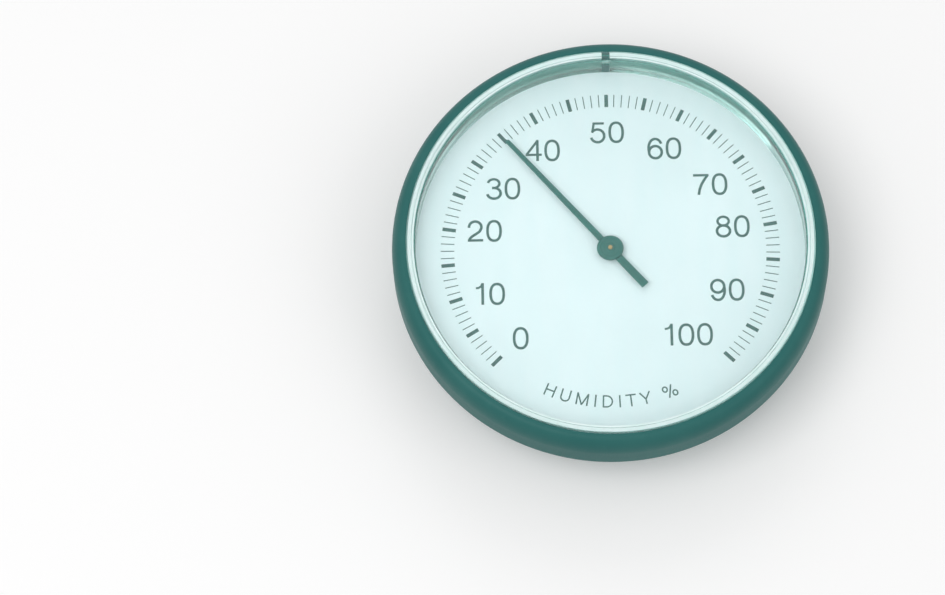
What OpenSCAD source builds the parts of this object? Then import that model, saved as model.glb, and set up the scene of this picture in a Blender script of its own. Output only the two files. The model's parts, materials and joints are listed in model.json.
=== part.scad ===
// Round hair hygrometer with a 270 degree humidity dial, lying on its back.
// The origin is the centre of the back face, +Z points out of the dial and +Y is twelve o'clock.
// All sizes are in millimetres and all angles in degrees.

/* [Crystal] */
// Diameter of the clear crystal at its front edge
crystal_d = 93.4; // [91:0.1:125]
// Height of the crystal's face above the dial
crystal_h = 7.8; // [5:0.1:14]
// Thickness of the window
window_t = 1.1; // [1:0.1:2.5]
// Thickness of the crystal's skirt next to the window
skirt_t = 1.8; // [1:0.1:3]
// How much thicker the skirt gets towards its foot
skirt_draft = 0.3; // [0.2:0.1:1.2]
// How far the crystal's foot stands out under the bezel's shoulder
foot_w = 0.9; // [0.4:0.1:1.5]
// Height of the crystal's foot
foot_h = 1.2; // [0.6:0.1:3]
// Fillet between the window and the skirt
crystal_fillet = 0.4; // [0.3:0.1:1.5]
// Chamfer round the crystal's front edge
crystal_chamfer = 0.3; // [0.1:0.05:0.8]

/* [Bezel] */
// Radial width of the bezel, from the crystal to the outside of the case
bezel_w = 3.3; // [2.6:0.1:8]
// Wall of the bezel outside the case flange
bezel_skin = 1.6; // [0.8:0.1:2.2]
// Height of the bezel's straight side
bezel_side_h = 6.2; // [4:0.1:9]
// Width of the flat lip round the crystal
rim_w = 0.6; // [0.3:0.1:2]
// How far the lip stays below the crystal's face
rim_drop = 0.3; // [0.1:0.1:1]
// Rounding of the bezel's rear edge
bezel_edge_r = 0.8; // [0.3:0.1:1.5]
// Width of the locating key at twelve o'clock
key_w = 1.8; // [1:0.1:4]
// How far the locating key stays below the crystal's face
key_drop = 3.6; // [2.4:0.1:4.5]

/* [Dial plate] */
// Thickness of the printed dial plate
dial_t = 0.8; // [0.5:0.1:1.5]
// Diameter of the hole that the pointer arbor passes through
dial_hole_d = 3.2; // [2.4:0.1:5]

/* [Case body] */
// Height of the drum behind the flange
drum_h = 12.5; // [12:0.1:30]
// Thickness of the flange that carries the dial
flange_t = 2.7; // [1.5:0.1:5]
// How much smaller the drum's radius is than the crystal's
drum_step = 2.2; // [1.5:0.1:2.6]
// Wall of the drum
drum_wall = 2; // [1.5:0.1:2.4]
// Width of the drum's lip round the back cover
cover_lip = 1; // [0.6:0.1:1.2]
// Diameter of the bosses that take the cover screws
boss_d = 6.4; // [5:0.1:7]
// Direction of the first boss from three o'clock
boss_turn = 60; // [50:1:70]

/* [Back cover] */
// Thickness of the back cover
cover_t = 2; // [1.8:0.1:2.6]
// Width of a vent slot
vent_w = 2; // [1:0.1:3]
// Distance from one row of vent slots to the next
vent_pitch = 4.5; // [3.5:0.1:6]
// Number of rows of vent slots
vent_rows = 9; // [1:1:11]
// Radius of the round field that the vent slots fill
vent_field_r = 24; // [20:0.5:24.5]
// Width of the rib down the middle of the vents
vent_rib_w = 4; // [2:0.5:10]
// Diameter of the round end of the hanging keyhole
hang_hole_d = 8; // [7:0.1:8.4]
// Width of the keyhole's slot
hang_slot_w = 4.6; // [4.4:0.1:5]
// How far the keyhole's slot runs up from the middle of its round end
hang_slot_l = 8; // [7:0.1:9]
// Height of the keyhole's round end above the middle of the back
hang_y = 29; // [28.8:0.1:31]
// Diameter of the hole over the adjusting spindle
adjust_hole_d = 5.6; // [5:0.1:7]
// Diameter of a cover screw
cover_screw_d = 2.2; // [1.6:0.1:2.6]
// Diameter of a cover screw's head
cover_head_d = 4.4; // [3.6:0.1:5]
// Height of a cover screw's head
cover_head_h = 1.1; // [0.8:0.1:1.2]
// Length of a cover screw below its head
cover_screw_l = 7.5; // [4:0.1:9]

/* [Movement plates] */
// Thickness of the base plate
base_t = 1; // [0.8:0.1:1.2]
// Thickness of the front plate
front_t = 0.8; // [0.6:0.1:1.2]
// Distance between the two plates
plate_gap = 6.2; // [5.9:0.1:6.4]
// Width of the straps of the two plates
strap_w = 6; // [4:0.1:6.8]
// Diameter of the lugs at the ends of the straps
lug_d = 7.4; // [7:0.1:8]
// Diameter of a pillar
pillar_d = 4; // [3:0.1:5]
// Diameter of the screws that hold the plates to the pillars
plate_screw_d = 2; // [1.4:0.1:2.2]
// Diameter of a plate screw's head
plate_head_d = 3.8; // [3:0.1:5]
// Height of a plate screw's head
plate_head_h = 1.1; // [0.8:0.1:1.3]
// Length of a plate screw in its pillar
plate_screw_l = 2.6; // [1.5:0.1:2.8]
// Height of a dial stud's shoulder, from the front plate to the dial
stud_h = 2.8; // [2.2:0.1:3.4]
// Diameter of a dial stud's shoulder
stud_d = 3.2; // [2.6:0.1:5]
// Diameter of a dial stud's threaded end
stud_thread_d = 1.8; // [1.2:0.1:2.2]
// Width across the corners of a dial stud's nut
nut_d = 4.2; // [3.4:0.1:5]
// Height of a dial stud's nut
nut_h = 1.4; // [0.8:0.1:1.8]

/* [Gear train] */
// Tooth module of the pinion and the sector
gear_module = 0.5; // [0.48:0.01:0.52]
// Number of teeth on the pinion
pinion_teeth = 10; // [9:1:10]
// How many times faster the pointer turns than the sector
gear_ratio = 10; // [9:0.5:10.5]
// Pressure angle of the teeth
pressure_angle = 20; // [18:1:24]
// Play between meshing teeth, along the pitch line
backlash = 0.12; // [0.08:0.01:0.2]
// Direction of the sector arbor from the pointer arbor
sector_dir = 227.7; // [225:0.1:230]
// Thickness of the sector
sector_t = 0.8; // [0.5:0.1:1]
// Radial width of the sector's rim behind its teeth
sector_rim_w = 2.2; // [1.5:0.1:4]
// Width of the sector's arm
sector_arm_w = 6; // [4:0.1:6.4]
// Distance from the sector arbor to the pins that stop the arm
stop_ring_r = 8; // [7.6:0.1:9]
// Length of the pinion
pinion_l = 1.6; // [1.2:0.1:2]
// Turn of the pointer from rest to the dry end of the scale
pointer_dry = 95; // [60:1:110]
// Turn of the pointer from rest to the damp end of the scale
pointer_damp = 176; // [120:1:180]

/* [Arbors and bushes] */
// Diameter of the pointer arbor
arbor_d = 1.5; // [1.3:0.1:2]
// Diameter of the pivots at the ends of the arbors
pivot_d = 1; // [0.8:0.1:1.2]
// Diameter of the sector arbor
sector_arbor_d = 2; // [1.6:0.1:2.4]
// Diameter of the bushes in the plates
bush_d = 4; // [3:0.1:4.6]
// Diameter of the flange on a bush
bush_flange_d = 5.2; // [4.8:0.1:6]
// Thickness of the flange on a bush
bush_flange_t = 0.4; // [0.3:0.1:0.5]
// Radial running clearance of a pivot in its bush
run_gap = 0.05; // [0.02:0.01:0.08]
// Radial gap between pieces that are fixed together
seat_gap = 0.03; // [0.01:0.01:0.05]

/* [Pointer] */
// Length of the pointer from its axis to its tip
pointer_l = 36; // [20:0.5:42]
// Length of the pointer's tail
tail_l = 12; // [5:0.1:20]
// Width of the pointer next to its hub
pointer_w = 1.5; // [0.8:0.1:3]
// Width of the pointer at its tip
tip_w = 1; // [0.4:0.1:2]
// Width of the pointer's tail next to the hub
tail_w = 1.7; // [0.8:0.1:4]
// Width of the pointer's tail at its end
tail_end_w = 1.9; // [0.8:0.1:5]
// Thickness of the pointer
pointer_t = 0.4; // [0.2:0.1:0.8]
// Height of the pointer above the dial
pointer_lift = 1.2; // [0.6:0.1:2.5]
// Diameter of the pointer's hub
hub_d = 6.2; // [4:0.1:10]
// Height of the hub above the pointer
hub_h = 0.5; // [0.3:0.1:1.5]
// Diameter of the arbor's end that shows in the hub
arbor_tip_d = 1; // [0.8:0.1:1.2]
// Turn of the pointer from twelve o'clock at rest, anticlockwise
pointer_turn = 40.5; // [0:0.5:90]

/* [Hairspring] */
// Diameter of the collet that holds the spring's inner end
collet_d = 3.4; // [2.6:0.1:4]
// Thickness of the spring's strip
spring_t = 0.2; // [0.1:0.05:0.3]
// Height of the spring's strip
spring_h = 0.8; // [0.5:0.1:1]
// Distance from one turn of the spring to the next
spring_pitch = 0.9; // [0.7:0.05:0.95]
// Number of turns of the spring
spring_turns = 5; // [3:1:5]

/* [Hair and adjuster] */
// Radius at which the hair pulls on the sector's lever
lever_l = 4; // [4:0.1:5]
// Distance from the sector arbor to the adjusting spindle, along the hair
hair_l = 49.3; // [47:0.1:50.5]
// Width of the hair bundle
hair_w = 1.6; // [0.8:0.1:2]
// Thickness of the hair bundle
hair_t = 0.3; // [0.2:0.1:0.4]
// Radius at which the adjuster's arm pulls on the hair
trim_l = 3; // [3:0.1:4]
// Thickness of the lever and the adjuster's arm
lever_t = 0.8; // [0.5:0.1:1]
// Thickness of a hair clamp's plate
clamp_t = 0.6; // [0.4:0.1:0.8]
// Diameter of the adjusting spindle
spindle_d = 2.5; // [2:0.1:3]
// Diameter of the spindle's slotted head
spindle_head_d = 4.6; // [3.6:0.1:4.8]
// Depth of the spindle's head below the back face
spindle_sink = 0.9; // [0.5:0.1:1.5]

/* [Hidden] */
$fn = 96;
cut = 0.5;
merge = 0.4;
arc_steps = 10;
edge_steps = 5;
rim_facets = 180;

// Heights, from the back face up
dial_z = drum_h + flange_t;
dial_top = dial_z + dial_t;
face_z = dial_top + crystal_h;
rim_z = face_z - rim_drop;
key_z = face_z - key_drop;
front_top = dial_z - stud_h;
front_z = front_top - front_t;
base_top = front_z - plate_gap;
base_z = base_top - base_t;

// Gear geometry
sector_dry = pointer_dry / gear_ratio;
sector_damp = pointer_damp / gear_ratio;
tooth_pitch = PI * gear_module;
pinion_r = gear_module * pinion_teeth / 2;
sector_teeth_full = pinion_teeth * gear_ratio;
sector_r = gear_module * sector_teeth_full / 2;
tooth_t = tooth_pitch / 2 - backlash / 2;
pinion_addendum = gear_module;
sector_addendum = 0.5 * gear_module;
root_clearance = 0.3 * gear_module;
sector_step = 360 / sector_teeth_full;
mesh_dir = sector_dir - 180;
mesh_margin = 2 * sector_step;
first_tooth = -ceil((sector_damp + mesh_margin) / sector_step);
last_tooth = ceil((sector_dry + mesh_margin) / sector_step);
arm_dir = mesh_dir + (first_tooth + last_tooth) / 2 * sector_step;

// Places of the movement's pieces on the plates
sector_axis = polar(pinion_r + sector_r, sector_dir);
hair_x = sector_axis.x - lever_l;
trim_axis = [hair_x + trim_l, sector_axis.y + hair_l];
right_pillar = [30, 0];
upper_pillar = [-30, 21.5];
lower_pillar = sector_axis + [-12.5, 0.3];
pillar_points = [right_pillar, upper_pillar, lower_pillar];
low_stud = [2, -22];
right_stud_x = 18;
upper_stud_r = 20;
stud_points = [[right_stud_x, 0],
    polar(upper_stud_r, atan2(upper_pillar.y, upper_pillar.x)), low_stud];
strap_tuck = 0.7;
sector_strap_extra = 2;
stud_thread_stand = 0.4;

// Pads under the ends of the hair, and how far the movement reaches from the middle
pad_l = 3.4;
pad_w = 5.2;
pad_inner = 1.4;
pad_outer = pad_w - pad_inner;
adjuster_reach = norm(trim_axis) + norm([trim_l + pad_outer, pad_l / 2]);
pillar_reach = max([for (p = pillar_points) norm(p)]) + lug_d / 2;
movement_reach = max(adjuster_reach, pillar_reach);

// Radii of the case, from the crystal outwards and inwards
crystal_r = crystal_d / 2;
skirt_r = crystal_r - skirt_t;
skirt_foot_r = skirt_r - skirt_draft;
foot_r = crystal_r + foot_w;
case_r = crystal_r + bezel_w;
bezel_bore_r = crystal_r + seat_gap;
flange_r = case_r - bezel_skin - seat_gap;
drum_clearance = 0.5;
drum_r = max(crystal_r - drum_step, movement_reach + drum_clearance + drum_wall);
drum_in_r = drum_r - drum_wall;
cover_seat_r = drum_r - cover_lip;
cover_r = cover_seat_r - seat_gap;
boss_r = boss_d / 2;
boss_ring_r = drum_in_r - boss_r + merge;
boss_points = [for (i = [0:2]) polar(boss_ring_r, boss_turn + 120 * i)];
head_sink = 0.1;
head_gap = 0.15;
cover_counterbore_h = cover_head_h + head_sink;
cover_counterbore_r = cover_head_d / 2 + head_gap;
drum_chamfer = 0.3;

// Heights of the movement's pieces
layer_gap = 0.7;
sector_z = base_top + layer_gap;
hub_flange_t = 0.4;
lever_z = sector_z + sector_t + hub_flange_t;
hair_z = lever_z + lever_t + seat_gap;
clamp_z = hair_z + hair_t + seat_gap;
shoulder_z = base_top + bush_flange_t + run_gap;
pinion_drop = 0.1;
pinion_z = sector_z - pinion_drop;
pivot_end = 0.4;
arbor_end_z = base_z - pivot_end;
pointer_z = dial_top + pointer_lift;
hub_under = 0.4;
hub_stem_wall = 0.5;
hub_stem_r = arbor_tip_d / 2 + hub_stem_wall;
hub_overhang = 0.6;
hub_draft = 0.25;
hub_z = pointer_z - hub_under;
hub_top = pointer_z + pointer_t + hub_h;
arbor_stand = 0.15;
arbor_top = hub_top + arbor_stand;
pivot_stand = 0.2;
collet_margin = 0.2;
collet_h = spring_h + 2 * collet_margin;
collet_z = front_z - bush_flange_t - collet_h - collet_margin;
spring_z = collet_z + collet_margin;
spring_top = spring_z + spring_h;

// Hairspring and its stud
spring_r0 = collet_d / 2 + seat_gap + spring_t / 2;
spring_r1 = spring_r0 + spring_pitch * spring_turns;
spring_end_dir = 20;
spring_stud_r = 0.8;
spring_pin_r = 0.5;
spring_stud_drop = 0.3;
spring_stud_z = spring_z - spring_stud_drop;
spring_stud_axis = polar(spring_r1 + spring_stud_r, spring_end_dir);
spring_steps = 30;
collet_slit_w = 0.3;

// Hair clamps
clamp_margin = 0.2;
clamp_foot_gap = 0.2;
clamp_screw_off = 2.5;
clamp_screw_r = 0.6;
clamp_head_r = 1.1;
clamp_head_h = 0.6;

// Stops on the base plate, either side of the sector's arm
stop_r = 0.6;
stop_play = 0.4;
stop_stand = 0.4;
stop_edge = 1.4;
stop_swing = asin((sector_arm_w / 2 + stop_r) / stop_ring_r) + stop_play;
stop_points = [for (a = [arm_dir - sector_dry - stop_swing, arm_dir + sector_damp + stop_swing])
    sector_axis + polar(stop_ring_r, a)];

// Counterweight on the sector's tail
weight_r = 2.5;
weight_h = 1.9;
weight_ring_r = 8;
weight_pin_r = 0.8;
tail_strap_w = 3.6;
weight_axis = sector_axis + polar(weight_ring_r, arm_dir + 180);

// Adjusting spindle
washer_room = 0.8;
washer_t = 0.35;
spindle_head_z = base_z - washer_room;
spindle_slot_w = 0.8;
spindle_slot_h = 1;
spindle_stand = 0.6;
trim_hub_wall = 1.2;
trim_hub_z = base_top + run_gap;

// Wall of the hub and of the discs that sit on it
sector_hub_wall = 1;
sector_hub_r = sector_arbor_d / 2 + sector_hub_wall;
hub_flange_w = 2.2;
sector_disc_w = 3.4;

// Lightening holes in the sector's arm, as shares of the way to its rim
lightening_holes = [0.5, 0.72];
sector_rim_steps = 14;

// Widths of the screws' driver slots
cover_driver_w = 0.6;
plate_driver_w = 0.5;
clamp_driver_w = 0.35;

brass = [0.78, 0.62, 0.30];
steel = [0.72, 0.73, 0.74];
dark_case = [0.25, 0.44, 0.42];
ink = [0.20, 0.42, 0.39];

function polar(r, a) = [r * cos(a), r * sin(a)];

// Points of an arc from angle a to angle b
function arc(r, a, b, steps = arc_steps) = [for (i = [0:steps]) polar(r, a + (b - a) * i / steps)];

// Turn between the radius to an involute's point and the radius to its start
function involute_turn(base_r, r) =
    r <= base_r ? 0 : sqrt(pow(r / base_r, 2) - 1) * 180 / PI - acos(base_r / r);

// Half the angle that a tooth takes up at radius r
function half_tooth(pitch_r, r) = let (base_r = pitch_r * cos(pressure_angle))
    tooth_t / (2 * pitch_r) * 180 / PI
        + involute_turn(base_r, pitch_r) - involute_turn(base_r, r);

// Outline of one tooth, from its root on one side over its tip to the other root
function tooth(pitch_r, root_r, tip_r, dir, steps = 5) = let (
        radii = [for (i = [0:steps]) root_r + (tip_r - root_r) * i / steps])
    concat([for (i = [0:steps]) polar(radii[i], dir - half_tooth(pitch_r, radii[i]))],
        [for (i = [steps:-1:0]) polar(radii[i], dir + half_tooth(pitch_r, radii[i]))]);

// Moves its children to a point of the plan at height z
module at(point, z = 0) translate([point.x, point.y, z]) children();

// A disc of a given thickness round a point of the plan
module disc(point, r, z, h) at(point, z) cylinder(r = r, h = h);

// A hole of radius r through everything between two heights
module hole(point, r, z0, z1) at(point, z0 - cut) cylinder(r = r, h = z1 - z0 + 2 * cut);

// A flat bar from one point of the plan to another
module strap(from, to, w, z, h) {
    run = to - from;
    at(from, z) rotate(atan2(run.y, run.x)) translate([0, -w / 2, 0]) cube([norm(run), w, h]);
}

// A cheese-head screw at the origin, its head below z = 0 and its shank above
module screw(shank_r, shank_l, head_r, head_h, slot_w) difference() {
    union() {
        translate([0, 0, -head_h]) cylinder(r = head_r, h = head_h);
        translate([0, 0, -merge]) cylinder(r = shank_r, h = shank_l + merge);
    }
    translate([-head_r - cut, -slot_w / 2, -head_h - cut])
        cube([2 * (head_r + cut), slot_w, head_h / 2 + cut]);
}

module case_body() color(dark_case) difference() {
    union() {
        rotate_extrude() polygon([[drum_in_r, cover_t], [cover_seat_r, cover_t], [cover_seat_r, 0],
            [drum_r - drum_chamfer, 0], [drum_r, drum_chamfer], [drum_r, drum_h], [flange_r, drum_h],
            [flange_r, dial_z], [drum_in_r, dial_z]]);
        for (p = boss_points) disc(p, boss_r, cover_t, drum_h - cover_t);
    }
    for (p = boss_points) hole(p, cover_screw_d / 2 + seat_gap, cover_t, cover_t + cover_screw_l);
}

module bezel_ring() color(dark_case) {
    side_z = drum_h + bezel_side_h;
    rim_r = bezel_bore_r + rim_w;
    shoulder_z = dial_top + foot_h + seat_gap;
    foot_bore_r = foot_r + seat_gap;
    flange_bore_r = flange_r + seat_gap;
    rear_edge = [for (p = arc(bezel_edge_r, -90, 0, edge_steps))
        [case_r - bezel_edge_r, drum_h + bezel_edge_r] + p];
    shoulder = [for (p = arc(1, 0, 90))
        [rim_r + (case_r - rim_r) * p.x, side_z + (rim_z - side_z) * p.y]];
    rotate_extrude($fn = rim_facets) polygon(concat([[flange_bore_r, drum_h]], rear_edge, shoulder,
        [[bezel_bore_r, rim_z], [bezel_bore_r, shoulder_z], [foot_bore_r, shoulder_z],
        [foot_bore_r, dial_z], [flange_bore_r, dial_z]]));
    intersection() {
        translate([-key_w / 2, skirt_foot_r + seat_gap, dial_top + seat_gap])
            cube([key_w, foot_r - skirt_foot_r, key_z - dial_top - seat_gap]);
        cylinder(r = crystal_r + merge + seat_gap, h = rim_z);
    }
}

module crystal() color([0.9, 0.97, 1, 0.35]) {
    under_z = face_z - window_t;
    fillet = [for (p = arc(crystal_fillet, 90, 0, edge_steps))
        [skirt_r - crystal_fillet, under_z - crystal_fillet] + p];
    difference() {
        rotate_extrude($fn = rim_facets) polygon(concat([[0, face_z], [0, under_z]], fillet,
            [[skirt_foot_r, dial_top], [foot_r, dial_top], [foot_r, dial_top + foot_h],
            [crystal_r, dial_top + foot_h], [crystal_r, face_z - crystal_chamfer],
            [crystal_r - crystal_chamfer, face_z]]));
        translate([-key_w / 2 - seat_gap, skirt_foot_r - cut, dial_top - cut]) cube([
            key_w + 2 * seat_gap, foot_r - skirt_foot_r + 2 * cut, key_z - dial_top + seat_gap + cut]);
    }
}

module dial_plate() color([0.9, 0.97, 0.98]) difference() {
    translate([0, 0, dial_z]) cylinder(r = foot_r, h = dial_t);
    hole([0, 0], dial_hole_d / 2, dial_z, dial_top);
}

module dial_studs() color(steel) for (p = stud_points) {
    disc(p, stud_d / 2, front_top, stud_h);
    disc(p, stud_thread_d / 2, front_z - nut_h - stud_thread_stand,
        front_t + nut_h + stud_thread_stand + merge);
}

module dial_stud_nuts() color(steel) for (p = stud_points) difference() {
    at(p, front_z - nut_h) cylinder(r = nut_d / 2, h = nut_h, $fn = 6);
    hole(p, stud_thread_d / 2 + seat_gap, front_z - nut_h, front_z);
}

// Outline of the keyhole's slot, with its round end upwards
function hang_slot() = concat([[-hang_slot_w / 2, 0], [hang_slot_w / 2, 0]],
    [for (p = arc(hang_slot_w / 2, 0, 180, 12)) p + [0, hang_slot_l - hang_slot_w / 2]]);

module back_cover() color(dark_case) difference() {
    cylinder(r = cover_r, h = cover_t);
    for (row = [0:vent_rows - 1], side = [-1, 1]) {
        y = (row - (vent_rows - 1) / 2) * vent_pitch;
        l = sqrt(max(pow(vent_field_r, 2) - pow(y, 2), 0)) - vent_rib_w / 2;
        if (l > vent_w) translate([side * (vent_rib_w / 2 + l / 2) - l / 2, y - vent_w / 2, -cut])
            cube([l, vent_w, cover_t + 2 * cut]);
    }
    hole([0, hang_y], hang_hole_d / 2, 0, cover_t);
    at([0, hang_y], -cut) linear_extrude(cover_t + 2 * cut) polygon(hang_slot());
    hole(trim_axis, adjust_hole_d / 2, 0, cover_t);
    for (p = boss_points) {
        hole(p, cover_screw_d / 2 + seat_gap, 0, cover_t);
        at(p, -cut) cylinder(r = cover_counterbore_r, h = cover_counterbore_h + cut);
    }
}

module back_cover_screws() color(steel) for (p = boss_points) at(p, cover_counterbore_h)
    screw(cover_screw_d / 2, cover_screw_l - cover_counterbore_h, cover_head_d / 2, cover_head_h,
        cover_driver_w);

module base_plate() color(brass) difference() {
    union() {
        for (p = concat(pillar_points, [trim_axis])) disc(p, lug_d / 2, base_z, base_t);
        disc([0, 0], lug_d / 2 + strap_tuck, base_z, base_t);
        disc(sector_axis, stop_ring_r + stop_edge, base_z, base_t);
        strap([0, 0], right_pillar, strap_w, base_z, base_t);
        strap([0, 0], sector_axis, strap_w + sector_strap_extra, base_z, base_t);
        strap(sector_axis, lower_pillar, strap_w, base_z, base_t);
        strap(lower_pillar, upper_pillar, strap_w, base_z, base_t);
        strap(upper_pillar, trim_axis, strap_w, base_z, base_t);
    }
    for (p = [[0, 0], sector_axis]) hole(p, bush_d / 2, base_z, base_top);
    for (p = pillar_points) hole(p, plate_screw_d / 2 + seat_gap, base_z, base_top);
    for (p = stop_points) hole(p, stop_r + seat_gap, base_z, base_top);
    hole(trim_axis, spindle_d / 2 + run_gap, base_z, base_top);
}

module front_plate() color(brass) difference() {
    union() {
        for (p = concat(pillar_points, [sector_axis, low_stud])) disc(p, lug_d / 2, front_z, front_t);
        disc([0, 0], lug_d / 2 + 2 * strap_tuck, front_z, front_t);
        strap([0, 0], right_pillar, strap_w, front_z, front_t);
        strap([0, 0], sector_axis, strap_w, front_z, front_t);
        strap(sector_axis, lower_pillar, strap_w, front_z, front_t);
        strap([0, 0], upper_pillar, strap_w, front_z, front_t);
        strap([0, 0], low_stud, strap_w, front_z, front_t);
    }
    for (p = [[0, 0], sector_axis]) hole(p, bush_d / 2, front_z, front_top);
    for (p = pillar_points) hole(p, plate_screw_d / 2 + seat_gap, front_z, front_top);
    for (p = stud_points) hole(p, stud_thread_d / 2 + seat_gap, front_z, front_top);
    hole(spring_stud_axis, spring_pin_r + seat_gap, front_z, front_top);
}

module pillars() color(brass) for (p = pillar_points) difference() {
    disc(p, pillar_d / 2, base_top, plate_gap);
    hole(p, plate_screw_d / 2 + seat_gap, base_top, front_z);
}

module rear_pillar_screws() color(steel) for (p = pillar_points) at(p, base_z)
    screw(plate_screw_d / 2, base_t + plate_screw_l, plate_head_d / 2, plate_head_h, plate_driver_w);

module front_pillar_screws() color(steel) for (p = pillar_points) at(p, front_top) mirror([0, 0, 1])
    screw(plate_screw_d / 2, front_t + plate_screw_l, plate_head_d / 2, plate_head_h, plate_driver_w);

// A flanged bush through a plate, with its flange on the plate's upper face
module bush(point, plate_z, plate_t, bore_d) color(brass) difference() {
    union() {
        disc(point, bush_d / 2 - seat_gap, plate_z, plate_t + merge / 2);
        disc(point, bush_flange_d / 2, plate_z + plate_t, bush_flange_t);
    }
    hole(point, bore_d / 2 + run_gap, plate_z, plate_z + plate_t + bush_flange_t);
}

module pointer_bush_rear() bush([0, 0], base_z, base_t, pivot_d);
module pointer_bush_front() bush([0, 0], front_z, front_t, arbor_d);
module sector_bush_rear() bush(sector_axis, base_z, base_t, pivot_d);
module sector_bush_front() bush(sector_axis, front_z, front_t, pivot_d);

module stop_pins() color(steel) for (p = stop_points)
    disc(p, stop_r, base_z, sector_z + sector_t + stop_stand - base_z);

module hairspring_stud() color(brass) difference() {
    union() {
        disc(spring_stud_axis, spring_stud_r, spring_stud_z, front_z - spring_stud_z);
        disc(spring_stud_axis, spring_pin_r, front_z - merge, front_t + merge);
    }
    at(spring_stud_axis, spring_stud_z - cut) rotate(spring_end_dir + 90)
        translate([-spring_stud_r - cut, spring_stud_r - spring_t - 2 * seat_gap, 0])
        cube([2 * (spring_stud_r + cut), spring_stud_r, spring_top + seat_gap - spring_stud_z + cut]);
}

// Outline of the spiral strip, out along its outer face and back along its inner one
function spiral(off, from, to, step) = [for (i = [from:step:to])
    polar(spring_r0 + spring_pitch * i / spring_steps + off, spring_end_dir + 360 * i / spring_steps)];

module hairspring() color([0.35, 0.45, 0.6]) {
    last = spring_turns * spring_steps;
    echo(least_gap_between_turns = spring_pitch * cos(180 / spring_steps) - spring_t);
    translate([0, 0, spring_z]) linear_extrude(spring_h) polygon(concat(
        spiral(spring_t / 2, 0, last, 1), spiral(-spring_t / 2, last, 0, -1)));
}

module pointer_arbor() color(brass) {
    disc([0, 0], pivot_d / 2, arbor_end_z, shoulder_z - arbor_end_z + merge);
    disc([0, 0], arbor_d / 2, shoulder_z, hub_z - shoulder_z);
    disc([0, 0], arbor_tip_d / 2, hub_z - merge, arbor_top - hub_z + merge);
}

module pinion() color(brass) difference() {
    translate([0, 0, pinion_z]) linear_extrude(pinion_l) polygon([for (i = [0:pinion_teeth - 1])
        each tooth(pinion_r, pinion_r - sector_addendum - root_clearance, pinion_r + pinion_addendum,
            sector_dir + (i + 0.5) * 360 / pinion_teeth)]);
    hole([0, 0], arbor_d / 2 + seat_gap, pinion_z, pinion_z + pinion_l);
}

module hairspring_collet() color(brass) difference() {
    disc([0, 0], collet_d / 2, collet_z, collet_h);
    hole([0, 0], arbor_d / 2 + seat_gap, collet_z, collet_z + collet_h);
    translate([0, -collet_slit_w / 2, collet_z - cut]) cube([collet_d, collet_slit_w, collet_h + 2 * cut]);
}

module pointer() color(ink) rotate(pointer_turn) difference() {
    translate([0, 0, pointer_z]) union() {
        linear_extrude(pointer_t) polygon([[-pointer_w / 2, 0], [pointer_w / 2, 0],
            [tip_w / 2, pointer_l - tip_w / 3], [0, pointer_l], [-tip_w / 2, pointer_l - tip_w / 3]]);
        linear_extrude(pointer_t) polygon([[-tail_w / 2, 0], [-tail_end_w / 2, -tail_l],
            [tail_end_w / 2, -tail_l], [tail_w / 2, 0]]);
        cylinder(r = hub_d / 2 - hub_overhang, h = pointer_t);
    }
    hole([0, 0], hub_stem_r + seat_gap, pointer_z, pointer_z + pointer_t);
}

module pointer_hub() color(ink) difference() {
    union() {
        disc([0, 0], hub_stem_r, hub_z, hub_top - hub_z);
        translate([0, 0, pointer_z + pointer_t])
            cylinder(r1 = hub_d / 2, r2 = hub_d / 2 - hub_draft, h = hub_h);
    }
    hole([0, 0], arbor_tip_d / 2 + seat_gap, hub_z, hub_top);
}

module sector_arbor() color(steel) {
    disc(sector_axis, pivot_d / 2, arbor_end_z, front_top + bush_flange_t + pivot_stand - arbor_end_z);
    disc(sector_axis, sector_arbor_d / 2, shoulder_z, front_z - run_gap - shoulder_z);
}

module sector_hub() color(brass) difference() {
    union() {
        disc(sector_axis, sector_hub_r, shoulder_z, clamp_z + clamp_t - shoulder_z);
        disc(sector_axis, sector_arbor_d / 2 + hub_flange_w, sector_z + sector_t, hub_flange_t);
    }
    hole(sector_axis, sector_arbor_d / 2 + seat_gap, shoulder_z, clamp_z + clamp_t);
}

module sector_wheel() color(brass) {
    tip_r = sector_r + sector_addendum;
    root_r = sector_r - pinion_addendum - root_clearance;
    rim_r = root_r - sector_rim_w;
    teeth = [for (i = [first_tooth:last_tooth])
        each tooth(sector_r, root_r, tip_r, mesh_dir + i * sector_step)];
    end_a = mesh_dir + (last_tooth + 0.5) * sector_step;
    start_a = mesh_dir + (first_tooth - 0.5) * sector_step;
    difference() {
        at(sector_axis, sector_z) union() {
            linear_extrude(sector_t) polygon(concat(
                [polar(root_r, start_a)], teeth, [polar(root_r, end_a)],
                arc(rim_r, end_a, start_a, sector_rim_steps)));
            strap([0, 0], polar(rim_r + merge, arm_dir), sector_arm_w, 0, sector_t);
            strap([0, 0], polar(weight_ring_r, arm_dir + 180), tail_strap_w, 0, sector_t);
            cylinder(r = sector_arbor_d / 2 + sector_disc_w, h = sector_t);
            translate(polar(weight_ring_r, arm_dir + 180)) cylinder(r = weight_r - merge / 2, h = sector_t);
        }
        hole(sector_axis, sector_hub_r + seat_gap, sector_z, sector_z + sector_t);
        hole(weight_axis, weight_pin_r + seat_gap, sector_z, sector_z + sector_t);
        for (share = lightening_holes)
            hole(sector_axis + polar(rim_r * share, arm_dir), sector_arm_w / 4,
                sector_z, sector_z + sector_t);
    }
}

module counterweight() color(brass) {
    disc(weight_axis, weight_r, sector_z + sector_t, weight_h);
    disc(weight_axis, weight_pin_r, sector_z, sector_t + merge);
}

// A flat pad under the end of the hair, its outer end towards -X
module hair_pad(y) translate([hair_x - pad_outer, y - pad_l / 2, lever_z]) cube([pad_w, pad_l, lever_t]);

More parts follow.
